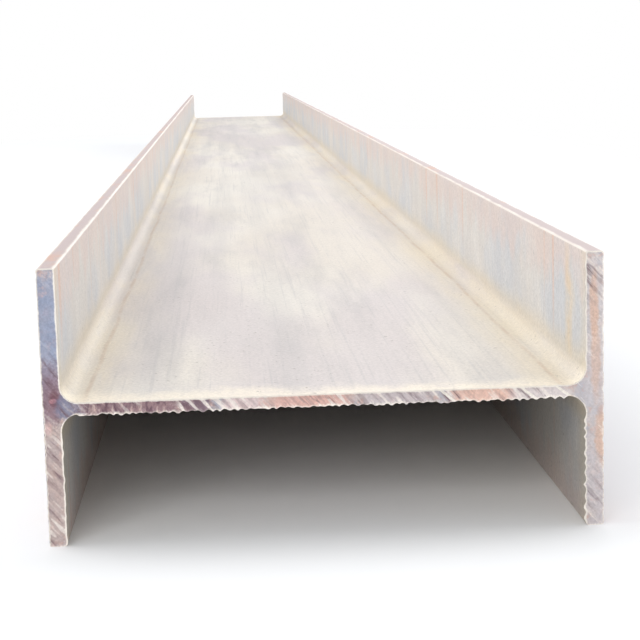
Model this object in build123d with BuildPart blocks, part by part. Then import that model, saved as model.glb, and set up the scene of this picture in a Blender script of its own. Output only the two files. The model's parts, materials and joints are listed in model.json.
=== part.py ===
from build123d import *
import os

# Hot-rolled narrow-flange H-section, lying with its web level and standing on its flange toes.
# X runs across the section, Y along the stock and Z up. The origin is on the floor, midway
# between the flanges and midway between the two cut ends. All sizes are in millimetres.

# Driving dimensions of the rolled section
section_depth = 400.0  # over the outer faces of the two flanges
flange_width = 200.0  # from toe to toe of one flange
web_thickness = 8.0
flange_thickness = 13.0
root_radius = 13.0  # fillet that the rolls leave where the web runs into a flange
toe_radius = 2.0  # small round on each long corner of a flange toe

# Driving dimension of the stock
stock_length = 6000.0  # between the two square-sawn ends

# Sizes that follow from them
inner_depth = section_depth - 2 * flange_thickness  # clear depth between the flanges
flange_centre = (section_depth - flange_thickness) / 2  # middle of a flange's thickness
web_level = flange_width / 2  # middle of the web above the floor

os.makedirs("parts", exist_ok=True)

with BuildPart() as h_beam:
    # The section stands upright at mid-length, centred on the middle of the web.
    with BuildSketch(Plane.XZ.shift_origin((0, 0, web_level))) as section:
        with Locations((-flange_centre, 0), (flange_centre, 0)):
            Rectangle(flange_thickness, flange_width)
        toe_corners = section.vertices()
        Rectangle(inner_depth, web_thickness)
        root_corners = section.vertices().filter_by(
            lambda corner: abs(corner.Y) < flange_width / 2
        )
        fillet(root_corners, radius=root_radius)
        fillet(toe_corners, radius=toe_radius)
    extrude(amount=stock_length / 2, both=True)

h_beam.part.label = "h_beam"
export_step(h_beam.part, "parts/h_beam.step")
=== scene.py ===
"""Steel h-beam: one length of hot-rolled H-section, lying on a floor with its web level.

The rolled section is modelled as one closed mesh with its root fillets, rounded toes, and the burr
that a hot saw leaves on both cut ends. Four finishes dress it: the dusty channels, the scaled outer
flange faces, the toes with their bright edges and the sawn ends. All lengths are in metres.
"""

import json
import logging
import math
import random
from dataclasses import dataclass
from enum import Enum, IntEnum
from typing import Callable

import bmesh
import bpy
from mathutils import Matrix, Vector
from mathutils.noise import noise as ripple

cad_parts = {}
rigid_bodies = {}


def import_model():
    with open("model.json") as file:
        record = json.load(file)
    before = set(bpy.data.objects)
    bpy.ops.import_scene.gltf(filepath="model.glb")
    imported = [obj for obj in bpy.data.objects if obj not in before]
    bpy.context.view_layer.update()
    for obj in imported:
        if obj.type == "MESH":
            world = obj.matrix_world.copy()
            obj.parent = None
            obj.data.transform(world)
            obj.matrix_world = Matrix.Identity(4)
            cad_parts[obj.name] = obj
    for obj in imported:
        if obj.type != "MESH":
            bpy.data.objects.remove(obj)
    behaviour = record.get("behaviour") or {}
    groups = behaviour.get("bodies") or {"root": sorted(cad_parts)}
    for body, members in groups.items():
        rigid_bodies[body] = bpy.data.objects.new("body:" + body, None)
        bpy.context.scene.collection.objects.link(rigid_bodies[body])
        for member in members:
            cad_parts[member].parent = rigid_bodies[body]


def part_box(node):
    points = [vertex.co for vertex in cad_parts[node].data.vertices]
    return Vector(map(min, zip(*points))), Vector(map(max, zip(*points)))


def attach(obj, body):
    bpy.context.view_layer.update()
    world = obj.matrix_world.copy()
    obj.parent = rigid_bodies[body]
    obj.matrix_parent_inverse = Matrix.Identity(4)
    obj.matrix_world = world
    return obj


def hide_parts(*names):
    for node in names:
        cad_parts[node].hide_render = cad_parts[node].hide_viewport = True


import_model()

Colour = tuple[float, float, float, float]
Triple = tuple[float, float, float]
Pair = tuple[float, float]
PairTest = Callable[[Vector, Vector], bool]

# How near a point is to a face, or to the plane of a cut, when it counts as on it.
ON_FACE = 1e-4
ON_CUT = 1e-5
# The least part of a normal along an axis when its face counts as square to that axis.
SQUARE = 0.9
# The length of one wave in a wave texture whose scale is 1.
WAVE_LENGTH = 0.3142

log = logging.getLogger("h_beam")


def tone(red: int, green: int, blue: int) -> Colour:
    """Gives the linear colour of a shade read off a colour card.

    Args:
        red: Red from 0 to 255.
        green: Green from 0 to 255.
        blue: Blue from 0 to 255.

    Returns:
        The linear colour with full alpha.
    """

    def linear(value: int) -> float:
        """Undoes the display curve on one channel."""
        part = value / 255
        return part / 12.92 if part <= 0.04045 else ((part + 0.055) / 1.055) ** 2.4

    return (linear(red), linear(green), linear(blue), 1.0)


def in_radians(turn: Triple) -> Triple:
    """Gives three angles in radians that are named in degrees."""
    return tuple(math.radians(angle) for angle in turn)


WHITE = tone(255, 255, 255)


class Axis(IntEnum):
    """The axes of the stock, by their place in a vector."""

    ACROSS = 0
    ALONG = 1
    UP = 2


class Cut(Enum):
    """The two sawn ends, by the way each one faces along the stock."""

    NEAR = -1
    FAR = 1


class Plate(Enum):
    """The three plates of the section."""

    LEFT = -1
    WEB = 0
    RIGHT = 1


class Skin(Enum):
    """The surfaces that get a finish of their own, by material slot."""

    CHANNEL = 0
    FLANGE_FACE = 1
    TOE = 2
    SAWN_END = 3


class RimWearAndHighlight(Enum):
    """How bright the rim of a cut is, by the face that it runs along: a pale saw burr with a painted
    highlight, brightest along the upper faces.
    """

    UPPER = 1.0
    INNER = 0.85
    LEFT = 0.65
    DULL = 0.42


@dataclass(frozen=True)
class Profile:
    """The sizes of the rolled section, shared by its mesh, its cuts and its finishes."""

    length: float
    depth: float
    width: float
    web: float = 0.008
    flange: float = 0.013
    root: float = 0.013
    toe: float = 0.002

    @property
    def half(self) -> float:
        """The distance from the middle of the stock to a cut end."""
        return self.length / 2

    @property
    def outer(self) -> float:
        """The distance from the middle of the web to a flange's outer face."""
        return self.depth / 2

    @property
    def inner(self) -> float:
        """The distance from the middle of the web to a flange's inner face."""
        return self.depth / 2 - self.flange

    @property
    def level(self) -> float:
        """The height of the middle of the web."""
        return self.width / 2


class Wire:
    """One output socket of a node, with arithmetic that adds Math nodes."""

    def __init__(self, graph: "Graph", socket: bpy.types.NodeSocket | None) -> None:
        """Keeps the socket and the graph that it belongs to."""
        self.graph = graph
        self.socket = socket

    def _math(self, operation: str, first: "Wire | float", second: "Wire | float" = 0.0) -> "Wire":
        """Adds one Math node with its operation and its two values."""
        return self.graph.node("ShaderNodeMath", {"operation": operation}, {0: first, 1: second})

    def __add__(self, other: "Wire | float") -> "Wire":
        """Adds a value."""
        return self._math("ADD", self, other)

    def __radd__(self, other: float) -> "Wire":
        """Adds itself to a number."""
        return self._math("ADD", other, self)

    def __sub__(self, other: "Wire | float") -> "Wire":
        """Takes a value away."""
        return self._math("SUBTRACT", self, other)

    def __rsub__(self, other: float) -> "Wire":
        """Takes itself away from a number."""
        return self._math("SUBTRACT", other, self)

    def __mul__(self, other: "Wire | float") -> "Wire":
        """Multiplies by a value."""
        return self._math("MULTIPLY", self, other)

    def __truediv__(self, other: "Wire | float") -> "Wire":
        """Divides by a value."""
        return self._math("DIVIDE", self, other)

    def __abs__(self) -> "Wire":
        """Gives its size without the sign."""
        return self._math("ABSOLUTE", self)

    def at_least(self, other: "Wire | float") -> "Wire":
        """Gives the larger of itself and a value."""
        return self._math("MAXIMUM", self, other)

    def sway(self, reach: float) -> "Wire":
        """Turns noise into a push to and fro, of at most half of the reach either way."""
        return (self - 0.5) * reach

    def ease(self, low: float, high: float, start: float = 0.0, end: float = 1.0) -> "Wire":
        """Runs smoothly from one value to another as this value goes between two limits.

        Args:
            low: Where the run starts.
            high: Where it ends.
            start: The result below low.
            end: The result above high.

        Returns:
            The eased value.
        """
        return self.graph.node(
            "ShaderNodeMapRange",
            {"interpolation_type": "SMOOTHSTEP"},
            {"Value": self, "From Min": low, "From Max": high, "To Min": start, "To Max": end},
        )

    def line(self, middle: float, half_width: float, soft: float) -> "Wire":
        """Gives 1 within half a width of a middle value, and fades to 0 over a soft edge."""
        return abs(self - middle).ease(half_width, half_width + soft, 1, 0)


class Graph:
    """The node tree of a material or of the world, emptied and built up node by node."""

    def __init__(self, owner: bpy.types.Material | bpy.types.World) -> None:
        """Empties the owner's tree.

        Args:
            owner: The material or the world.
        """
        owner.use_nodes = True
        self.tree = owner.node_tree
        self.tree.nodes.clear()

    def node(
        self,
        kind: str,
        settings: dict[str, object] | None = None,
        sockets: dict[str | int, object] | None = None,
        output: str | int = 0,
    ) -> Wire:
        """Adds one node.

        Args:
            kind: The node's type.
            settings: Its properties, which are set first.
            sockets: Values or wires by socket name or number.
            output: The name or number of the output that is wanted.

        Returns:
            That output, or an empty wire where the node is the tree's end.
        """
        made = self.tree.nodes.new(kind)
        for key, value in (settings or {}).items():
            setattr(made, key, value)
        for key, value in (sockets or {}).items():
            if isinstance(value, Wire):
                self.tree.links.new(value.socket, made.inputs[key])
            else:
                made.inputs[key].default_value = value
        return Wire(self, made.outputs[output] if made.outputs else None)

    def blend(
        self, amount: Wire | float, under: Wire | Colour, over: Wire | Colour, how: str = "MIX"
    ) -> Wire:
        """Lays a colour over another, by an amount from 0 to 1 and with one of the Mix node's blend types."""
        settings = {"data_type": "RGBA", "blend_type": how}
        return self.node("ShaderNodeMix", settings, {0: amount, 6: under, 7: over}, output=2)

    def backdrop_rays(self) -> Wire:
        """Marks the rays that show the backdrop itself, seen straight, in a gloss or through glass.

        Returns:
            1 for such a ray and 0 for one that only lights the piece.
        """
        kinds = ("Camera", "Glossy", "Transmission")
        straight, glossy, clear = (
            self.node("ShaderNodeLightPath", output=f"Is {kind} Ray") for kind in kinds
        )
        return straight.at_least(glossy).at_least(clear)


class Surface(Graph):
    """The node tree of one material, with the piece's own coordinates at hand."""

    def __init__(self, name: str) -> None:
        """Makes an empty material and reads the piece's coordinates.

        Args:
            name: The material's name.
        """
        self.material = bpy.data.materials.new(name)
        super().__init__(self.material)
        self.place = self.node("ShaderNodeTexCoord", output="Object")
        split = self.node("ShaderNodeSeparateXYZ", sockets={0: self.place}).socket.node
        self.across, self.along, self.height = (Wire(self, socket) for socket in split.outputs)

    def laid(
        self,
        fine: Triple = (1.0, 1.0, 1.0),
        shift: float | Triple = 0.0,
        turn: Triple = (0.0, 0.0, 0.0),
    ) -> Wire:
        """Turns, shifts and stretches the piece's coordinates for a pattern.

        Args:
            fine: How much finer the pattern gets along each axis.
            shift: What is added to the turned coordinates, along the stock or along all axes.
            turn: The turn about each axis, in degrees.

        Returns:
            The pattern's coordinates.
        """
        sockets = {
            "Vector": self.place,
            "Rotation": in_radians(turn),
            "Location": shift if isinstance(shift, tuple) else (0.0, shift, 0.0),
        }
        turned = self.node("ShaderNodeMapping", sockets=sockets)
        return self.node("ShaderNodeVectorMath", {"operation": "MULTIPLY"}, {0: turned, 1: fine})

    def noise(
        self,
        fine: float | Triple,
        detail: float = 2.0,
        rough: float = 0.5,
        shift: float | Triple = 0.0,
        turn: Triple = (0.0, 0.0, 0.0),
        bend: float = 0.0,
    ) -> Wire:
        """Adds cloudy noise with its values mostly between 0.3 and 0.7.

        Args:
            fine: Features per metre, the same all ways or along each axis.
            detail: How many finer layers it has.
            rough: How strong the finer layers are.
            shift: How noise with three finenesses is shifted, as in laid.
            turn: How such noise is turned about each axis, in degrees.
            bend: How far the pattern is distorted.

        Returns:
            The noise.
        """
        stretched = isinstance(fine, tuple)
        sockets = {
            "Vector": self.laid(fine, shift, turn) if stretched else self.place,
            "Scale": 1.0 if stretched else fine,
            "Detail": detail,
            "Roughness": rough,
            "Distortion": bend,
        }
        return self.node("ShaderNodeTexNoise", sockets=sockets)

    def hairs(
        self, tilts: tuple[float, ...], fine: float, long: float, sheaf: Pair, shift: float = 0.0
    ) -> Wire:
        """Draws fine hairs across a flange face, in sheaves that lean a little either way.

        Args:
            tilts: How far each sheaf's hairs lean, in degrees.
            fine: Hairs per metre of stock, before each sheaf adds some.
            long: Hairs per metre of height.
            sheaf: The noise between which a sheaf's hairs come out.
            shift: Moves all sheaves along, to tell one face's hairs from another's.

        Returns:
            The hairs' mask.
        """
        found = None
        for number, tilt in enumerate(tilts):
            spacing = (0, fine + 60 * number, long)
            hair = self.noise(spacing, 2, 0.55, 3.1 * number + shift, (tilt, 0, 0), 0.3)
            grouped = self.noise((9, 30, 24), shift=(0, shift, 5 * number))
            hair = hair.ease(0.53, 0.66) * grouped.ease(*sheaf)
            found = hair if found is None else found.at_least(hair)
        return found

    def mottled(self, colour: Wire, grain: Wire, low: float, high: float) -> Wire:
        """Makes a colour darker and lighter from grain to grain.

        Args:
            colour: The colour.
            grain: The grain's noise.
            low: The share of the colour that is left in the hollows of the grain.
            high: The share of it on the grain's crests.

        Returns:
            The mottled colour.
        """
        shade = grain.ease(0.3, 0.7, low, high)
        grey = self.node("ShaderNodeCombineColor", sockets={0: shade, 1: shade, 2: shade})
        return self.blend(1.0, colour, grey, "MULTIPLY")

    def steel(
        self, colour: Wire, rough: Wire, metal: Wire, relief: Wire, depth: float
    ) -> bpy.types.Material:
        """Closes the material with a steel surface.

        Args:
            colour: The base colour.
            rough: The roughness.
            metal: The metallic share.
            relief: The height of the fine relief, from 0 to 1.
            depth: How deep that relief is.

        Returns:
            The finished material.
        """
        bump = self.node("ShaderNodeBump", sockets={"Strength": 1.0, "Distance": depth, "Height": relief})
        surface = self.node(
            "ShaderNodeBsdfPrincipled",
            sockets={"Base Color": colour, "Roughness": rough, "Metallic": metal, "Normal": bump},
        )
        self.node("ShaderNodeOutputMaterial", sockets={"Surface": surface})
        return self.material


@dataclass(frozen=True)
class ChannelFinish:
    """The web, the root fillets and the inner flange faces: grey scale under pale dust."""

    profile: Profile
    dust: Colour = tone(226, 220, 211)
    warm: Colour = tone(210, 200, 189)
    scale: Colour = tone(178, 175, 175)
    lilac: Colour = tone(199, 190, 193)
    speck: Colour = tone(112, 100, 92)
    ochre: Colour = tone(224, 211, 187)
    # Cream of the band by each cut: pale dust, with painted sunlight on the web just behind the cut.
    pale_band: Colour = tone(250, 239, 219)
    root_line: Colour = tone(190, 162, 136)
    flange_grey: Colour = tone(214, 210, 205)
    flange_cool: Colour = tone(203, 205, 208)
    flange_pale: Colour = tone(230, 226, 219)
    hair: Colour = tone(238, 235, 231)
    blush: Colour = tone(222, 202, 193)
    run: Colour = tone(222, 182, 156)
    wash: Colour = tone(230, 205, 162)
    wash_place: float = 0.058
    tilts: Triple = (-22.0, 12.0, 27.0)
    relief_depth: float = 0.0006

    def material(self) -> bpy.types.Material:
        """Makes the channel's material.

        Returns:
            The material.
        """
        g = Surface("channel")
        rise = abs(g.height - self.profile.level) - self.profile.web / 2
        grain = g.noise(430, 3, 0.65)
        fleck = g.noise((210, 150, 210), 3, 0.7)
        cloud = g.noise((24, 2.6, 24), 4, 0.6, (3, 0, 0))
        web = self._web(g, rise, cloud, fleck)
        flange = self._flange(g, rise, cloud, fleck)
        colour = g.blend(rise.ease(self.profile.root / 2, self.profile.root), web, flange)
        colour = g.mottled(colour, grain, 0.89, 1.06)
        rough = 0.47 + cloud * 0.16 + grain * 0.06
        metal = 0.46 - cloud * 0.22
        return g.steel(colour, rough, metal, grain * 0.5 + fleck * 0.5, self.relief_depth)

    def _web(self, g: Surface, rise: Wire, cloud: Wire, fleck: Wire) -> Wire:
        """Colours the web and the root fillets.

        Args:
            g: The graph.
            rise: The distance from the web's face.
            cloud: Soft blotches.
            fleck: Fine grains.

        Returns:
            The colour.
        """
        p = self.profile
        broad = g.noise((6, 1.7, 6), 3)
        tinted = g.noise((7, 1.3, 7), 3, 0.55, 12)
        drawn = g.noise((330, 3.5, 330), 3, 0.6)
        streaked = g.noise((26, 0.6, 26), shift=8)
        web = g.blend(broad.ease(0.36, 0.68, 0, 0.6), self.dust, self.warm)
        web = g.blend(tinted.ease(0.42, 0.62, 0, 0.60), web, self.lilac)
        web = g.blend(cloud.ease(0.48, 0.72, 0, 0.32), web, self.scale)
        web = g.blend(drawn.ease(0.52, 0.72, 0, 0.30), web, self.scale)
        web = g.blend(streaked.ease(0.40, 0.68, 0, 0.26), web, self.scale)

        outward = abs(g.across) - rise
        near_root = outward.ease(p.inner - 0.062, p.inner - 0.012)
        web = g.blend(near_root * cloud.ease(0.34, 0.60, 0.72, 0.20), web, self.ochre)
        drift = g.noise((3, 5, 0))
        broken = g.noise((40, 18, 0), 3, 0.6, 6)
        crease = (outward + drift.sway(0.008)).line(p.inner - p.root * 1.3, 0.0004, 0.0026)
        web = g.blend(crease * broken.ease(0.34, 0.62, 0.1, 0.42), web, self.root_line)

        # A cream band on the web by each cut: pale dust, and painted sunlight that brightens the web just
        # behind the cut.
        uneven = g.noise((26, 14, 0), 3, 0.6, 16)
        by_cut = (abs(g.along) + uneven.sway(0.075)).ease(p.half - 0.042, p.half - 0.002)
        web = g.blend(by_cut * 0.62, web, self.pale_band)
        thick = g.noise((16, 7, 16), shift=4)
        return g.blend(fleck.ease(0.62, 0.72) * thick.ease(0.42, 0.62, 0.06, 0.6), web, self.speck)

    def _flange(self, g: Surface, rise: Wire, cloud: Wire, fleck: Wire) -> Wire:
        """Colours the inner flange faces.

        Args:
            g: The graph.
            rise: The distance from the web's face.
            cloud: Soft blotches.
            fleck: Fine grains.

        Returns:
            The colour.
        """
        p = self.profile
        streak = g.noise((0, 230, 5), 3, 0.65)
        broad = g.noise((7, 16, 5), shift=3)
        tall = g.noise((6, 7, 9), 3, 0.55, 7)
        flange = g.blend(tall.ease(0.38, 0.62), self.flange_grey, self.flange_cool)
        flange = g.blend(broad.ease(0.48, 0.68, 0, 0.35), flange, self.flange_pale)
        flange = g.blend(streak.ease(0.54, 0.74, 0, 0.34), flange, self.flange_pale)
        flange = g.blend((1 - streak).ease(0.56, 0.74, 0, 0.22), flange, self.scale)
        hairs = g.hairs(self.tilts, 420, 22, (0.46, 0.62), 2)
        flange = g.blend(hairs * 0.42, flange, self.hair)

        blotched = g.noise((20, 26, 20), 4, 0.6, 13)
        near_toe = (rise + blotched.sway(0.11)).ease(0.050, 0.092)
        flange = g.blend(near_toe * 0.62, flange, self.blush)
        spill = g.noise((5, 46, 1.4), 1, shift=2)
        reach = g.noise((5, 24, 0), 1, shift=5)
        falling = (rise + reach * 0.13).ease(0.075, 0.15)
        flange = g.blend(spill.ease(0.63, 0.73, 0, 0.5) * falling, flange, self.run)

        # A yellow wash has run down each flange behind one of the cuts, the left one's near cut.
        waver = g.noise(22).sway(0.036)
        behind = p.half + g.along * (g.across * 8).ease(-1, 1, -1, 1)
        above = (g.height - p.level).ease(0, 0.03) * rise.ease(0.06, 0.096, 1, 0.3)
        wash = (behind + waver).line(self.wash_place, 0.003, 0.014) * blotched.ease(0.36, 0.60, 0.15, 0.62)
        flange = g.blend(wash * above, flange, self.wash)
        by_cut = (abs(g.along) + broad.sway(0.03)).ease(p.half - 0.035, p.half - 0.006)
        flange = g.blend(by_cut * 0.4, flange, self.ochre)
        by_root = (rise + cloud.sway(0.02)).ease(0.010, 0.030, 0.55, 0)
        flange = g.blend(by_root, flange, self.ochre)
        return g.blend(fleck.ease(0.63, 0.74, 0, 0.3), flange, self.speck)


@dataclass(frozen=True)
class FlangeFaceFinish:
    """An outer flange face: mottled mill scale with crosswise hairs and a cooler band behind the web."""

    profile: Profile
    mauve: Colour = tone(190, 173, 177)
    grey: Colour = tone(187, 179, 179)
    tan: Colour = tone(196, 181, 166)
    cool: Colour = tone(174, 178, 190)
    pink: Colour = tone(204, 172, 174)
    band: Colour = tone(165, 176, 193)
    flake: Colour = tone(216, 209, 200)
    pale_hair: Colour = tone(226, 219, 218)
    dark_hair: Colour = tone(140, 124, 132)
    salmon: Colour = tone(208, 136, 124)
    slate: Colour = tone(146, 144, 154)
    edge_dirt: Colour = tone(134, 118, 116)
    half_band: float = 0.0135
    shade_reach: float = 0.034
    tilts: tuple[float, ...] = (-14.0, -3.0, 8.0, 18.0)
    relief_depth: float = 0.0006

    def material(self) -> bpy.types.Material:
        """Makes the outer face's material.

        Returns:
            The material.
        """
        g = Surface("flange_face")
        p = self.profile
        grain = g.noise(520, 2, 0.6)
        crumb = g.noise(240, 3, 0.7)
        cooler = g.noise((14, 12, 14), 3, 0.6, 9)
        colour = self._ground(g, cooler)

        drift = g.noise((1, 14, 0))
        ragged = g.noise((0, 90, 30), 3, 0.6, 17)
        off = abs(g.height - p.level + drift.sway(0.010)) + crumb.sway(0.007) + ragged.sway(0.008)
        shaded = off.ease(self.half_band, self.half_band + self.shade_reach, 1, 0)
        colour = g.blend(shaded * ragged.ease(0.40, 0.62, 0.15, 0.6), colour, self.slate)
        in_band = off.ease(self.half_band - 0.004, self.half_band + 0.004, 1, 0)
        band_tone = g.blend(cooler.ease(0.38, 0.62, 0, 0.7), self.band, self.cool)
        colour = g.blend(in_band * ragged.ease(0.30, 0.66, 0.9, 0.66), colour, band_tone)

        hairs = g.hairs(self.tilts, 500, 40, (0.42, 0.60)) * (1 - in_band * 0.7)
        deep = g.noise((0, 460, 34), 2, 0.55, 11, (6, 0, 0))
        deep = deep.ease(0.56, 0.68) * (1 - in_band)
        colour = g.blend(deep * 0.5, colour, self.dark_hair)
        colour = g.blend(hairs * 0.62, colour, self.pale_hair)
        patchy = g.noise((0, 26, 9), shift=27)
        edge = off.line(self.half_band + 0.001, 0.0010, 0.0028)
        edge = edge * crumb.ease(0.42, 0.60) * patchy.ease(0.36, 0.60, 0.2, 1)
        colour = g.blend(edge * 0.75, colour, self.flake)

        spots = g.noise((6, 38, 22), 3, 0.6, 1.7)
        from_web = abs(g.height - p.level)
        blots = spots.ease(0.54, 0.72) * from_web.ease(0.052, 0.084)
        colour = g.blend(blots * 0.6, colour, self.salmon)
        ends = abs(g.along).ease(p.half - 0.005, p.half - 0.0015)
        toes = from_web.ease(p.level - 0.005, p.level - 0.001)
        colour = g.blend(ends.at_least(toes) * crumb.ease(0.4, 0.6, 0.25, 0.7), colour, self.edge_dirt)
        colour = g.mottled(colour, grain, 0.93, 1.05)

        rough = 0.54 + crumb * 0.14 - hairs * 0.06
        metal = 0.26 - blots * 0.2 - cooler * 0.1
        relief = grain * 0.3 + hairs * 0.4 + edge * 0.4 - deep * 0.2
        return g.steel(colour, rough, metal, relief, self.relief_depth)

    def _ground(self, g: Surface, cooler: Wire) -> Wire:
        """Colours the scale under the hairs.

        Args:
            g: The graph.
            cooler: Where the scale is bluer.

        Returns:
            The colour.
        """
        wide = g.noise(7, 3, 0.55)
        patch = g.noise((22, 34, 22), 4, 0.65, (4, 0, 0))
        blush = g.noise((20, 30, 20), 4, 0.65, 21)
        colour = g.blend(wide.ease(0.38, 0.62), self.mauve, self.grey)
        colour = g.blend(patch.ease(0.46, 0.66, 0, 0.75), colour, self.tan)
        colour = g.blend(g.height.ease(0, 0.055, 0.5, 0) * patch.ease(0.34, 0.56), colour, self.tan)
        colour = g.blend(cooler.ease(0.46, 0.64, 0, 0.55), colour, self.cool)
        return g.blend(blush.ease(0.50, 0.68, 0, 0.7), colour, self.pink)


@dataclass(frozen=True)
class ToeFinish:
    """The narrow toe faces: pinkish grey between two bright edges."""

    profile: Profile
    between: Colour = tone(190, 174, 172)
    bright: Colour = tone(238, 230, 220)
    rust: Colour = tone(206, 166, 146)
    relief_depth: float = 0.0005

    def material(self) -> bpy.types.Material:
        """Makes the toe's material.

        Returns:
            The material.
        """
        g = Surface("toe")
        reach = self.profile.flange / 2
        from_middle = abs(abs(g.across) - (self.profile.outer - reach))
        worn = g.noise((60, 24, 60), 3, 0.6)
        grain = g.noise(480, 2, 0.6)
        patch = g.noise((30, 9, 30), 3, 0.6, 4)
        colour = g.blend(patch.ease(0.52, 0.68, 0, 0.7), self.between, self.rust)
        # Paler and glossier along both edges of each toe.
        pale_band = (from_middle + worn.sway(0.004)).ease(reach * 0.5, reach * 0.92)
        colour = g.blend(pale_band * 0.9, colour, self.bright)
        rough = 0.58 - pale_band * 0.12 + grain * 0.06
        metal = 0.18 + pale_band * 0.15
        return g.steel(colour, rough, metal, grain * 0.6 + worn * 0.4, self.relief_depth)


@dataclass(frozen=True)
class EndPatch:
    """A patch of heat colour, rust or painted highlight on the near sawn end."""

    across: float
    height: float
    half_width: float
    half_height: float
    colour: Colour
    strength: float = 0.8


@dataclass(frozen=True)
class SawnEndFinish:
    """A sawn end: heat colours and rust crossed by slanting saw strokes, in a pale burred rim with a painted
    highlight.

    The burnt and the torn stretch of the web each have a middle, a half width and a soft edge.
    """

    profile: Profile
    ground: Colour = tone(210, 198, 194)
    cool: Colour = tone(180, 180, 190)
    warm: Colour = tone(212, 176, 164)
    # The rim's pale burr, which also carries a painted highlight.
    rim: Colour = tone(252, 245, 234)
    stroke_dark: Colour = tone(112, 84, 92)
    stroke_pale: Colour = tone(244, 234, 227)
    wine: Colour = tone(96, 66, 80)
    bloom: Colour = tone(226, 200, 190)
    burnt: Triple = (-0.134, 0.036, 0.014)
    torn: Triple = (-0.080, 0.018, 0.014)
    scores: Triple = (0.0865, 0.1445, 0.1700)
    score_slope: float = 1.2
    slant: float = 42.0
    stroke_pitch: float = 0.0072
    relief_depth: float = 0.0008
    stains_and_highlights: tuple[EndPatch, ...] = (
        EndPatch(-0.194, 0.158, 0.013, 0.048, tone(152, 163, 190)),
        EndPatch(-0.196, 0.112, 0.014, 0.024, tone(155, 139, 154)),
        EndPatch(-0.194, 0.040, 0.013, 0.052, tone(198, 176, 170)),
        EndPatch(-0.1925, 0.104, 0.0085, 0.018, tone(140, 104, 116), 0.6),
        EndPatch(-0.1915, 0.107, 0.0040, 0.007, tone(118, 74, 84)),
        # Two painted highlights on the left flange's end: a pink glint in the wine spot and a pale pink one
        # below it.
        EndPatch(-0.1925, 0.1055, 0.0026, 0.0018, tone(222, 160, 170), 0.6),
        EndPatch(-0.1965, 0.086, 0.003, 0.005, tone(232, 196, 194), 0.6),
        EndPatch(-0.180, 0.100, 0.011, 0.011, tone(132, 134, 158), 0.85),
        EndPatch(-0.136, 0.099, 0.042, 0.013, tone(148, 116, 122), 0.9),
        EndPatch(-0.092, 0.100, 0.012, 0.010, tone(126, 96, 108)),
        EndPatch(-0.059, 0.100, 0.015, 0.010, tone(232, 212, 210)),
        EndPatch(-0.012, 0.099, 0.032, 0.011, tone(228, 184, 172), 0.9),
        EndPatch(0.052, 0.100, 0.028, 0.012, tone(204, 193, 195), 0.85),
        EndPatch(0.114, 0.099, 0.026, 0.010, tone(240, 200, 182), 0.9),
        EndPatch(0.156, 0.100, 0.024, 0.014, tone(228, 218, 216)),
        EndPatch(0.195, 0.140, 0.015, 0.070, tone(218, 210, 211)),
        EndPatch(0.196, 0.036, 0.014, 0.046, tone(216, 206, 206)),
        EndPatch(0.1930, 0.160, 0.0034, 0.028, tone(230, 188, 160), 0.62),
        EndPatch(0.1942, 0.124, 0.0038, 0.032, tone(226, 190, 168), 0.55),
        EndPatch(0.1985, 0.066, 0.005, 0.022, tone(224, 190, 170)),
    )

    def material(self) -> bpy.types.Material:
        """Makes the sawn end's material.

        Returns:
            The material.
        """
        g = Surface("sawn_end")
        p = self.profile
        cloud = g.noise((44, 20, 44), 3, 0.6)
        blot = g.noise((120, 20, 120), 3, 0.65, (2, 0, 0))
        grain = g.noise(640, 3, 0.65)
        near = g.along.ease(-0.2, 0.2, 1, 0)
        colour = g.blend(cloud.ease(0.44, 0.60), self.ground, self.cool)
        colour = g.blend(blot.ease(0.50, 0.64, 0, 0.7), colour, self.warm)
        colour = self._stained_and_highlighted(g, colour, blot, grain, near)

        lean = (0.0, self.slant, 0.0)
        strokes = g.noise((340, 0, 44), 3, 0.6, turn=lean, bend=0.15)
        finer = g.noise((1000, 0, 90), 2, 0.6, (1, 0, 0), lean)
        waver = g.noise((60, 0, 60), shift=(8, 0, 0))
        beat = g.node(
            "ShaderNodeTexWave",
            {"wave_type": "BANDS", "bands_direction": "X", "wave_profile": "SIN"},
            {"Vector": g.laid(turn=lean), "Scale": WAVE_LENGTH / self.stroke_pitch, "Distortion": 0},
        )
        beat = beat + waver.sway(2.2)
        torn = g.across.line(*self.torn)
        low_left = g.across.ease(-0.189, -0.184, 1, 0) * g.height.line(0.042, 0.026, 0.022)
        heavy = g.noise((15, 0, 15), shift=(6, 0, 0))
        heavy = heavy + torn * 0.26 - g.across.ease(0.02, 0.18, 0, 0.06) + low_left * 0.17
        dark = (1 - strokes).ease(0.55, 0.66) * 0.6 + (1 - beat).ease(0.6, 1.1) * 0.4
        colour = g.blend(dark * heavy.ease(0.44, 0.60, 0.10, 0.85), colour, self.stroke_dark)
        pulled = (beat + torn * 0.35).ease(0.9, 1.2) * heavy.ease(0.40, 0.62, 0, 0.80)
        pale = strokes.ease(0.57, 0.68) * 0.50 + pulled
        shown = g.across.ease(-0.170, -0.120, 0.35, 1).at_least(low_left)
        colour = g.blend(pale * shown, colour, self.stroke_pale)

        on_web = abs(g.across).ease(p.inner - 0.009, p.inner - 0.003, 1, 0) * near
        drawn = g.across + (g.height - p.level) * self.score_slope + blot.sway(0.003)
        for place in self.scores:
            colour = g.blend(drawn.line(place, 0.0009, 0.0012) * on_web * 0.85, colour, self.rim)
        colour = g.mottled(colour, grain, 0.88, 1.08)

        # The pale rim: saw burr with a painted highlight, which the layer makes brightest along upward faces.
        rim_brightness = g.node("ShaderNodeAttribute", {"attribute_name": SawnEnd.wear_and_highlight_layer}, output="Fac")
        rim = (rim_brightness + grain.sway(0.5) + waver.sway(0.7)).ease(0.10, 0.56)
        colour = g.blend(rim * 0.9, colour, self.rim)
        rough = 0.52 + cloud * 0.14 - rim * 0.08
        metal = 0.24 + rim * 0.1
        relief = strokes * 0.4 + beat * 0.25 + finer * 0.2 + grain * 0.15
        return g.steel(colour, rough, metal, relief, self.relief_depth)

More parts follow.
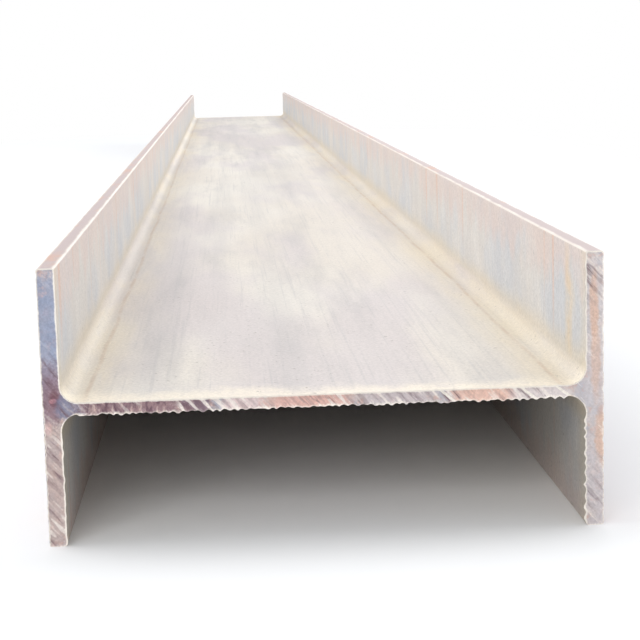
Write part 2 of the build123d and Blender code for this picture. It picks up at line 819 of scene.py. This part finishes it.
    def _stained_and_highlighted(self, g: Surface, colour: Wire, blot: Wire, grain: Wire, near: Wire) -> Wire:
        """Lays the heat colours, the rust and the painted highlights of the near end over its ground.

        Args:
            g: The graph.
            colour: The ground.
            blot: Blotches that fray the stains.
            grain: Fine grains that fray them too.
            near: The near end's mask.

        Returns:
            The colour.
        """
        ragged = blot.sway(2.2) + grain.sway(1.2)
        for end_patch in self.stains_and_highlights:
            wide = (g.across - end_patch.across) / end_patch.half_width
            tall = (g.height - end_patch.height) / end_patch.half_height
            reach = wide * wide + tall * tall + ragged
            colour = g.blend(reach.ease(0.3, 1.4, end_patch.strength, 0) * near, colour, end_patch.colour)
        speck = g.noise((210, 20, 80), 3, 0.65, (0, 0, 9))
        burnt = (g.across + blot.sway(0.04)).line(*self.burnt) * near
        colour = g.blend(speck.ease(0.50, 0.62, 0, 0.75) * burnt, colour, self.wine)
        return g.blend((1 - speck).ease(0.53, 0.64, 0, 0.60) * burnt, colour, self.bloom)


class Bench:
    """Edit-mode work on one piece, with what each step acts on picked by place and normal."""

    def __init__(self, piece: bpy.types.Object) -> None:
        """Puts the piece on the bench, in edit mode and with nothing else selected.

        Args:
            piece: The piece.
        """
        bpy.ops.object.select_all(action="DESELECT")
        piece.select_set(True)
        bpy.context.view_layer.objects.active = piece
        self.piece = piece
        bpy.ops.object.mode_set(mode="EDIT")

    def _pick(self, kind: str, wanted: Callable[[bmesh.types.BMesh], list]) -> int:
        """Selects what a test names and nothing else.

        Args:
            kind: VERT, EDGE or FACE.
            wanted: Gives the elements to select.

        Returns:
            How many were selected.
        """
        bpy.ops.mesh.select_mode(type=kind)
        bpy.ops.mesh.select_all(action="DESELECT")
        live = bmesh.from_edit_mesh(self.piece.data)
        picked = wanted(live)
        for element in picked:
            element.select_set(True)
        live.select_flush_mode()
        bmesh.update_edit_mesh(self.piece.data)
        return len(picked)

    def faces(self, test: PairTest) -> int:
        """Selects faces by the place of their middle and their normal."""
        return self._pick(
            "FACE",
            lambda live: [f for f in live.faces if not f.hide and test(f.calc_center_median(), f.normal)],
        )

    def edges(self, test: PairTest) -> int:
        """Selects edges by the places of their two ends."""
        return self._pick(
            "EDGE",
            lambda live: [e for e in live.edges if not e.hide and test(e.verts[0].co, e.verts[1].co)],
        )

    def points(self, test: Callable[[Vector], bool]) -> int:
        """Selects points by their place."""
        return self._pick("VERT", lambda live: [v for v in live.verts if not v.hide and test(v.co)])

    @staticmethod
    def slice(axis: Axis, value: float) -> None:
        """Cuts all that is not hidden along a plane square to one axis.

        Args:
            axis: The axis.
            value: Where the plane lies on it.
        """
        where, square = [0.0, 0.0, 0.0], [0.0, 0.0, 0.0]
        where[axis], square[axis] = value, 1.0
        bpy.ops.mesh.select_all(action="SELECT")
        bpy.ops.mesh.bisect(plane_co=where, plane_no=square)

    @staticmethod
    def pull(offset: Triple, reach: float = 0.0) -> None:
        """Moves the selection, and takes what is within reach of it along by degrees.

        Args:
            offset: How far the selection moves.
            reach: The radius over which the surface follows it, or 0 for none.
        """
        bpy.ops.transform.translate(
            value=offset,
            use_proportional_edit=reach > 0,
            proportional_edit_falloff="SMOOTH",
            proportional_size=reach or 1.0,
            use_proportional_connected=True,
        )

    def tremble(self, reach: float, fine: float, seed: int) -> None:
        """Moves each selected point a little along the stock, by noise that its place alone decides.

        Args:
            reach: How far a point moves at most.
            fine: Features of the noise per metre.
            seed: Shifts the noise, to tell one cut from the other.
        """
        live = bmesh.from_edit_mesh(self.piece.data)
        for point in live.verts:
            if point.select and not point.hide:
                point.co.y += reach * ripple(point.co * fine + Vector((seed, seed, seed)))
        bmesh.update_edit_mesh(self.piece.data)

    def give(self, skin: Skin, test: PairTest) -> None:
        """Gives the faces that pass a test to one material slot.

        Args:
            skin: The slot.
            test: Tells by a face's middle and normal whether it is meant.
        """
        self.faces(test)
        self.piece.active_material_index = skin.value
        bpy.ops.object.material_slot_assign()

    @staticmethod
    def done() -> None:
        """Goes back to object mode."""
        bpy.ops.mesh.select_all(action="DESELECT")
        bpy.ops.object.mode_set(mode="OBJECT")


@dataclass(frozen=True)
class RaggedEdge:
    """A stretch of a cut end's outline that the saw left uneven.

    The stretch runs along one axis at a fixed place on the other. Each tooth of it is pulled out by
    a length drawn from size, and taken back from the cut by a share of that length.
    """

    runs: Axis
    at: float
    low: float
    high: float
    way: int
    size: Pair
    gap: Pair = (0.8, 1.25)
    breadth: Pair = (0.16, 0.28)
    reach: float = 0.0028
    back: float = 0.0


@dataclass(frozen=True)
class SawnEnd:
    """The burr and the uneven cut that a hot saw leaves on one end of the section.

    The points of a tooth lie within hold of the outline and within depth_hold of the cut.
    """

    wear_and_highlight_layer = "edge_wear_and_highlight"

    cut: Cut
    profile: Profile
    zone: float
    seed: int
    pitch: float = 0.0060
    set_back: float = 0.0007
    tremor: float = 0.0002
    tremor_fine: float = 900.0
    toe_gap: float = 0.003
    root_gap: float = 0.015
    torn_height: float = 0.115
    hold: float = 4e-4
    depth_hold: float = 1e-3

    def ragged_edges(self) -> list[RaggedEdge]:
        """Lists the uneven stretches of the outline, in the order in which they are worked.

        Returns:
            The stretches.
        """
        p = self.profile
        clear = p.inner - p.root * 0.9
        under, over = (p.width - p.web) / 2, (p.width + p.web) / 2
        below, above = under - self.root_gap, over + self.root_gap
        torn, whole = self.torn_height - self.toe_gap, self.torn_height + self.toe_gap
        low, high = self.toe_gap, p.width - self.toe_gap
        return [
            RaggedEdge(Axis.ACROSS, under, -clear, clear, -1, (0.0008, 0.0021), (0.8, 1.15)),
            RaggedEdge(Axis.ACROSS, over, -clear, clear, 1, (0.0, 0.0005), (1.0, 2.2)),
            RaggedEdge(Axis.UP, p.inner, low, below, -1, (0.0006, 0.0020), (0.8, 1.5)),
            RaggedEdge(Axis.UP, p.inner, above, high, -1, (0.0001, 0.0008), (0.9, 2.2)),
            RaggedEdge(Axis.UP, -p.inner, low, below, 1, (0.0001, 0.0007), (0.9, 2.0)),
            RaggedEdge(Axis.UP, -p.outer, low, torn, 1, (0.0003, 0.0012), (0.7, 1.5), back=0.6),
            RaggedEdge(Axis.UP, -p.outer, whole, high, 1, (0.0, 0.0005), (1.0, 3.0), back=0.6),
            RaggedEdge(Axis.UP, p.outer, low, high, -1, (0.0001, 0.0007), (0.9, 2.6), back=0.6),
        ]

    def shape(self, bench: Bench) -> None:
        """Sets the cut back behind its rim and pulls the outline's teeth.

        Args:
            bench: The bench with the section on it.
        """
        plane = self.cut.value * self.profile.half
        bench.faces(lambda c, n: abs(c.y - plane) < self.zone)
        bpy.ops.mesh.hide(unselected=True)
        bench.faces(lambda c, n: abs(n.y) > SQUARE and abs(c.y - plane) < ON_CUT)
        bpy.ops.mesh.select_less()
        bench.pull((0.0, -self.cut.value * self.set_back, 0.0))
        bench.tremble(self.tremor, self.tremor_fine, self.seed)
        draw = random.Random(self.seed)
        for edge in self.ragged_edges():
            self._tear(bench, edge, plane, draw)
        bpy.ops.mesh.reveal()

    def _tear(self, bench: Bench, edge: RaggedEdge, plane: float, draw: random.Random) -> None:
        """Pulls the teeth of one stretch, one after another.

        Args:
            bench: The bench with the section on it.
            edge: The stretch.
            plane: Where the cut lies along the stock.
            draw: The source of the draws.
        """
        off = Axis.UP if edge.runs is Axis.ACROSS else Axis.ACROSS
        place = edge.low + self.pitch * draw.random()
        while place < edge.high:
            size = draw.uniform(*edge.size)
            half = self.pitch * draw.uniform(*edge.breadth)
            offset = [0.0, -self.cut.value * size * edge.back, 0.0]
            offset[off] = edge.way * size
            if bench.points(
                lambda c: abs(c[edge.runs] - place) < half
                and abs(c[off] - edge.at) < self.hold
                and abs(c.y - plane) < self.depth_hold
            ):
                bench.pull(tuple(offset), edge.reach)
            place += self.pitch * draw.uniform(*edge.gap)


@dataclass(frozen=True)
class SkinMap:
    """Where the section's skin lies on a flat map of its own.

    Each half of the stock is one wide strip, cut open along a bottom edge, with more room near its
    end. The web and the flanges of both cut ends lie above the two strips at a larger scale.
    """

    name: str = "OFBake"
    edge: float = 0.005
    strip: float = 0.43
    near_zone: float = 0.006
    near_room: float = 0.014
    crowding: float = 0.5
    web_row: Pair = (0.886, 0.058)
    flange_row: Pair = (0.956, 0.036)

    def side(self, far: bool, behind: float, reach: float, girth: float) -> Pair:
        """Places a point of the side faces.

        Args:
            far: Whether it belongs to the far half.
            behind: How far it lies behind the cut end.
            reach: The length of that half.
            girth: How far round the section it lies, from 0 to 1.

        Returns:
            Its place on the map.
        """
        run = max(behind - self.near_zone, 0.0) / (reach - self.near_zone)
        along = (run - self.crowding * run * run / 2) / (1 - self.crowding / 2)
        near = min(behind / self.near_zone, 1.0) * self.near_room
        across = self.edge + near + along * (1 - 2 * self.edge - self.near_room)
        rise = girth if far else 1 - girth
        return across, self.edge + rise * self.strip + (self.strip + 2 * self.edge) * far

    def end(self, far: bool, plate: Plate, share: float, rise: float) -> Pair:
        """Places a point of a cut end.

        Args:
            far: Whether it belongs to the far end.
            plate: The plate that it lies on.
            share: How far along that plate it lies, from 0 to 1.
            rise: How far across that plate it lies, from 0 to 1.

        Returns:
            Its place on the map, laid so that no part of the map is a mirror image.
        """
        right = plate is Plate.RIGHT
        if plate is Plate.WEB:
            share = 1 - share if far else share
            columns, column, (base, height) = 2, int(far), self.web_row
        else:
            rise = rise if right == far else 1 - rise
            columns, column, (base, height) = 4, 2 * int(far) + int(right), self.flange_row
        room = 1 / columns - 2 * self.edge
        return column / columns + self.edge + share * room, base + rise * height


@dataclass(frozen=True)
class RolledSection:
    """The whole stock: one web between two parallel flanges, from cut end to cut end."""

    name: str
    profile: Profile
    root_steps: int = 10
    toe_steps: int = 3
    smooth_angle: float = 30.0
    rim: float = 0.0016
    cell: float = 0.0016
    flange_cells: int = 8
    end_rows: tuple[float, ...] = (0.0008, 0.0018, 0.0032, 0.0056, 0.011, 0.022, 0.045, 0.09)
    fine_zone: float = 0.0056
    row_pitch: float = 0.1
    toe_room: float = 2.2
    end_skin: float = 0.004
    face_skin: float = 1e-3
    seeds: tuple[tuple[Cut, int], ...] = ((Cut.NEAR, 11), (Cut.FAR, 29))
    skin_map: SkinMap = SkinMap()

    def build(self) -> bpy.types.Object:
        """Models the section as one closed mesh.

        Returns:
            The piece.
        """
        p = self.profile
        bpy.ops.object.select_all(action="DESELECT")
        bpy.ops.mesh.primitive_cube_add(
            size=1, calc_uvs=False, location=(0, 0, p.level), scale=(2 * p.inner, p.length, p.web)
        )
        piece = bpy.context.object
        piece.name = piece.data.name = self.name
        bpy.ops.object.transform_apply(location=True, rotation=False, scale=True)
        bench = Bench(piece)
        self._roll(bench)
        self._unroll(bench)
        self._divide(bench)
        self._fold(bench)
        for cut, seed in self.seeds:
            SawnEnd(cut, p, self.fine_zone, seed).shape(bench)
        bench.done()
        bpy.ops.object.shade_smooth_by_angle(angle=math.radians(self.smooth_angle))
        return piece

    def _roll(self, bench: Bench) -> None:
        """Draws the flanges out of the web and rounds the roots and toes.

        Args:
            bench: The bench with the web's block on it.
        """
        p = self.profile
        for side in (-1, 1):
            bench.faces(lambda c, n: n.x * side > SQUARE and abs(c.x) > p.inner - ON_FACE)
            bpy.ops.mesh.extrude_region_move(TRANSFORM_OT_translate={"value": (side * p.flange, 0, 0)})
        for way in (-1, 1):
            bench.faces(lambda c, n: n.z * way > SQUARE and abs(c.x) > p.inner)
            rise = way * (p.width - p.web) / 2
            bpy.ops.mesh.extrude_region_move(TRANSFORM_OT_translate={"value": (0, 0, rise)})
        bench.faces(lambda c, n: abs(n.y) > SQUARE)
        bpy.ops.mesh.dissolve_faces()
        bench.faces(lambda c, n: abs(n.x) > SQUARE and abs(c.x) > p.outer - ON_FACE)
        bpy.ops.mesh.dissolve_faces()

        bench.edges(
            lambda a, b: abs(a.y - b.y) > p.half
            and abs(abs(a.x) - p.inner) < ON_FACE
            and abs(a.z - p.level) < p.web
        )
        bpy.ops.mesh.bevel(offset=p.root, segments=self.root_steps, affect="EDGES")
        bench.edges(lambda a, b: abs(a.y - b.y) > p.half and min(a.z, p.width - a.z) < ON_FACE)
        bpy.ops.mesh.bevel(offset=p.toe, segments=self.toe_steps, affect="EDGES")

    def _unroll(self, bench: Bench) -> None:
        """Lays the long faces out side by side on a new map, from a bottom edge right round the section.

        Args:
            bench: The bench with the plain section on it.
        """
        p = self.profile
        live = bmesh.from_edit_mesh(bench.piece.data)
        layer = live.loops.layers.uv.new(self.skin_map.name)
        sides = [face for face in live.faces if abs(face.normal.y) < 0.5]
        strip = min(sides, key=lambda face: face.calc_center_median().x)
        start = min(strip.edges, key=lambda edge: sum(v.co.z for v in edge.verts))
        spans, girth = [], 0.0
        for _ in sides:
            end = next(
                edge
                for edge in strip.edges
                if not set(edge.verts) & set(start.verts) and edge.calc_length() > p.half
            )
            middle = strip.calc_center_median()
            width = strip.calc_area() / p.length
            if min(middle.z, p.width - middle.z) < p.toe and abs(middle.x) > p.inner - ON_FACE:
                width *= self.toe_room
            spans.append((strip, set(start.verts), girth, girth + width))
            girth += width
            strip = next((face for face in end.link_faces if face is not strip), strip)
            start = end
        for strip, first, low, high in spans:
            for loop in strip.loops:
                loop[layer].uv = (0.0, (low if loop.vert in first else high) / girth)
        bmesh.update_edit_mesh(bench.piece.data)

    def _fold(self, bench: Bench) -> None:
        """Folds the unrolled skin into the map, half by half, and adds the cut ends.

        Args:
            bench: The bench with the divided section on it.
        """
        p = self.profile
        live = bmesh.from_edit_mesh(bench.piece.data)
        layer = live.loops.layers.uv[self.skin_map.name]
        tall = p.web + 2 * p.root
        for face in live.faces:
            middle = face.calc_center_median()
            far = middle.y > 0
            on_web = abs(middle.x) < p.inner
            plate = Plate.WEB if on_web else Plate.RIGHT if middle.x > 0 else Plate.LEFT
            for loop in face.loops:
                spot = loop.vert.co
                if abs(face.normal.y) < 0.5:
                    place = self.skin_map.side(far, p.half - abs(spot.y), p.half, loop[layer].uv.y)
                else:
                    share = (spot.x / p.inner + 1) / 2 if on_web else spot.z / p.width
                    rise = (spot.z - p.level) / tall + 0.5 if on_web else (abs(spot.x) - p.inner) / p.flange
                    place = self.skin_map.end(far, plate, share, rise)
                loop[layer].uv = place
        bmesh.update_edit_mesh(bench.piece.data)

    def _divide(self, bench: Bench) -> None:
        """Cuts the stock into rows, close together by the ends, and the ends into small cells.

        Args:
            bench: The bench with the plain section on it.
        """
        p = self.profile
        bench.faces(lambda c, n: abs(n.y) > SQUARE)
        bpy.ops.mesh.inset(thickness=self.rim, use_individual=True)
        self._mark_rims(bench)
        rows = {round(side * (p.half - row), 5) for row in self.end_rows for side in (-1, 1)}
        count = round(p.length / self.row_pitch)
        rows |= {round(-p.half + self.row_pitch * step, 5) for step in range(2, count - 1)}
        for row in sorted(rows):
            bench.slice(Axis.ALONG, row)
        bench.faces(lambda c, n: abs(c.y) > p.half - self.fine_zone)
        bpy.ops.mesh.hide(unselected=True)
        flange = [p.inner + p.flange * step / self.flange_cells for step in range(self.flange_cells)]
        web_cells = round(2 * p.inner / self.cell)
        web = [-p.inner + 2 * p.inner * step / web_cells for step in range(1, web_cells)]
        for value in [-x for x in flange] + web + flange:
            bench.slice(Axis.ACROSS, value)
        for step in range(1, round(p.width / self.cell)):
            bench.slice(Axis.UP, step * self.cell)
        bpy.ops.mesh.reveal()
        self._clear_sides(bench)

    def _mark_rims(self, bench: Bench) -> None:
        """Marks how bright the rim of both ends is, in a layer that fades to nothing at the inset ring.

        Args:
            bench: The bench with the plain section on it and its ends inset.
        """
        live = bmesh.from_edit_mesh(bench.piece.data)
        layer = live.verts.layers.float.new(SawnEnd.wear_and_highlight_layer)
        for face in live.faces:
            facing, middle = face.normal, face.calc_center_median()
            if abs(facing.y) > 0.5:
                continue
            # Painted highlight: brightest where the rim runs along an upper face, then an inner face, then
            # the left outer face, dullest elsewhere.
            if facing.z > 0.4:
                rim_brightness = RimWearAndHighlight.UPPER
            elif facing.x * middle.x < 0 and facing.z > -0.5:
                rim_brightness = RimWearAndHighlight.INNER
            else:
                rim_brightness = RimWearAndHighlight.LEFT if facing.x < -SQUARE else RimWearAndHighlight.DULL
            for corner in face.verts:
                corner[layer] = max(corner[layer], rim_brightness.value)
        bmesh.update_edit_mesh(bench.piece.data)

    def _clear_sides(self, bench: Bench) -> None:
        """Takes the rims' mark off all that lies behind the cuts.

        Args:
            bench: The bench with the divided section on it.
        """
        live = bmesh.from_edit_mesh(bench.piece.data)
        layer = live.verts.layers.float[SawnEnd.wear_and_highlight_layer]
        for corner in live.verts:
            if abs(corner.co.y) < self.profile.half - ON_CUT:
                corner[layer] = 0.0
        bmesh.update_edit_mesh(bench.piece.data)

    def dress(self, piece: bpy.types.Object) -> None:
        """Gives every surface its finish.

        Args:
            piece: The section.
        """
        p = self.profile
        for finish in (ChannelFinish(p), FlangeFaceFinish(p), ToeFinish(p), SawnEndFinish(p)):
            piece.data.materials.append(finish.material())
        bench = Bench(piece)
        bench.give(Skin.CHANNEL, lambda c, n: True)
        bench.give(Skin.FLANGE_FACE, lambda c, n: abs(c.x) > p.outer - self.face_skin and abs(n.x) > 0.8)
        bench.give(Skin.TOE, lambda c, n: min(c.z, p.width - c.z) < p.toe * 1.01 and abs(n.x) < 0.95)
        bench.give(Skin.SAWN_END, lambda c, n: abs(n.y) > 0.5 and abs(c.y) > p.half - self.end_skin)
        bench.done()


@dataclass(frozen=True)
class Lamp:
    """A soft rectangular lamp: its place, what it points at, its two sides and its watts."""

    name: str
    place: Triple
    target: Triple
    size: Pair
    power: float

    def hang(self) -> None:
        """Hangs the lamp in the scene and turns it to its target."""
        lamp = bpy.data.lights.new(self.name, "AREA")
        lamp.shape = "RECTANGLE"
        lamp.size, lamp.size_y = self.size
        lamp.energy = self.power
        holder = bpy.data.objects.new(self.name, lamp)
        holder.location = self.place
        way = Vector(self.target) - Vector(self.place)
        holder.rotation_euler = way.to_track_quat("-Z", "Y").to_euler()
        bpy.context.scene.collection.objects.link(holder)


@dataclass(frozen=True)
class Studio:
    """The floor, the lamps, the world and the camera.

    The floor fades to white between the two squared distances in fade. The camera's turn is in
    degrees about each axis, and would leave it looking straight down if it were nothing.
    """

    profile: Profile
    eye: Triple = (-0.0656, -4.172, 0.3395)
    turn: Triple = (81.1658, 1.46764, -3.31004)
    focal: float = 94.7368
    floor_radius: float = 300.0
    floor_corners: int = 96
    floor_grey: Colour = tone(214, 213, 211)
    fade: Pair = (0.03, 1.1)
    sky: Colour = (0.93, 0.96, 1.0, 1.0)
    sky_strength: float = 0.6
    lamps: tuple[Lamp, ...] = (
        Lamp("overhead", (-0.8, -0.6, 4.6), (0.2, 0, 0.1), (4, 9), 135),
        Lamp("front", (-2.2, -8, 2.6), (0, -2.8, 0.1), (3.5, 3), 122),
        Lamp("back", (2.2, 8, 2.6), (0, 2.8, 0.1), (3.5, 3), 80),
        Lamp("left", (-5.5, 0, 2.2), (0, 0, 0.1), (7, 2.5), 100),
        Lamp("right", (5.5, 0, 2.2), (0, 0, 0.1), (7, 2.5), 135),
    )

    def build_camera(self) -> bpy.types.Object:
        """Stands the camera at the photograph's viewpoint, turned to the beam.

        Returns:
            The camera.
        """
        lens = bpy.data.cameras.new("camera")
        lens.lens = self.focal
        camera = bpy.data.objects.new("camera", lens)
        camera.location = self.eye
        camera.rotation_euler = in_radians(self.turn)
        bpy.context.scene.collection.objects.link(camera)
        bpy.context.scene.camera = camera
        return camera

    def build_floor(self) -> bpy.types.Object:
        """Lays a plain pale floor that runs into the background.

        Returns:
            The floor.
        """
        bpy.ops.object.select_all(action="DESELECT")
        bpy.ops.mesh.primitive_circle_add(
            vertices=self.floor_corners, radius=self.floor_radius, fill_type="NGON", location=(0, 0, 0)
        )
        floor = bpy.context.object
        floor.name = "studio_floor"
        g = Surface("floor")
        beyond_side = (abs(g.across) - self.profile.outer).at_least(0.0)
        beyond_end = (abs(g.along) - self.profile.half).at_least(0.0)
        away = beyond_side * beyond_side + beyond_end * beyond_end
        shown = g.backdrop_rays()
        colour = g.blend(shown, self.floor_grey, WHITE)
        matt = g.node("ShaderNodeBsdfDiffuse", sockets={"Color": colour})
        white = g.node("ShaderNodeEmission", sockets={"Color": WHITE, "Strength": 1.0})
        mixed = g.node("ShaderNodeMixShader", sockets={0: away.ease(*self.fade) * shown, 1: matt, 2: white})
        g.node("ShaderNodeOutputMaterial", sockets={"Surface": mixed})
        floor.data.materials.append(g.material)
        return floor

    def light(self) -> None:
        """Hangs the soft lamps and sets the world."""
        world = bpy.data.worlds.new("world")
        bpy.context.scene.world = world
        g = Graph(world)
        soft = g.node("ShaderNodeBackground", sockets={"Color": self.sky, "Strength": self.sky_strength})
        white = g.node("ShaderNodeBackground", sockets={"Color": WHITE, "Strength": 1.0})
        mixed = g.node("ShaderNodeMixShader", sockets={0: g.backdrop_rays(), 1: soft, 2: white})
        g.node("ShaderNodeOutputWorld", sockets={"Surface": mixed})
        for lamp in self.lamps:
            lamp.hang()


def main() -> None:
    """Builds the beam and the studio, and reports each piece."""
    logging.basicConfig(level=logging.INFO, format="%(name)s: %(message)s")
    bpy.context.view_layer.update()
    low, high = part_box("h_beam")
    profile = Profile(high[1] - low[1], high[0] - low[0], high[2] - low[2])
    section = RolledSection("rolled_h_section", profile)
    piece = section.build()
    section.dress(piece)
    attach(piece, "root")
    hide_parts("h_beam")
    log.info("%s: %d faces", piece.name, len(piece.data.polygons))

    studio = Studio(profile)
    floor = studio.build_floor()
    studio.light()
    camera = studio.build_camera()
    log.info("%s and %s", floor.name, camera.name)

    bpy.context.scene.view_settings.view_transform = "Standard"


if __name__ == "__main__":
    main()
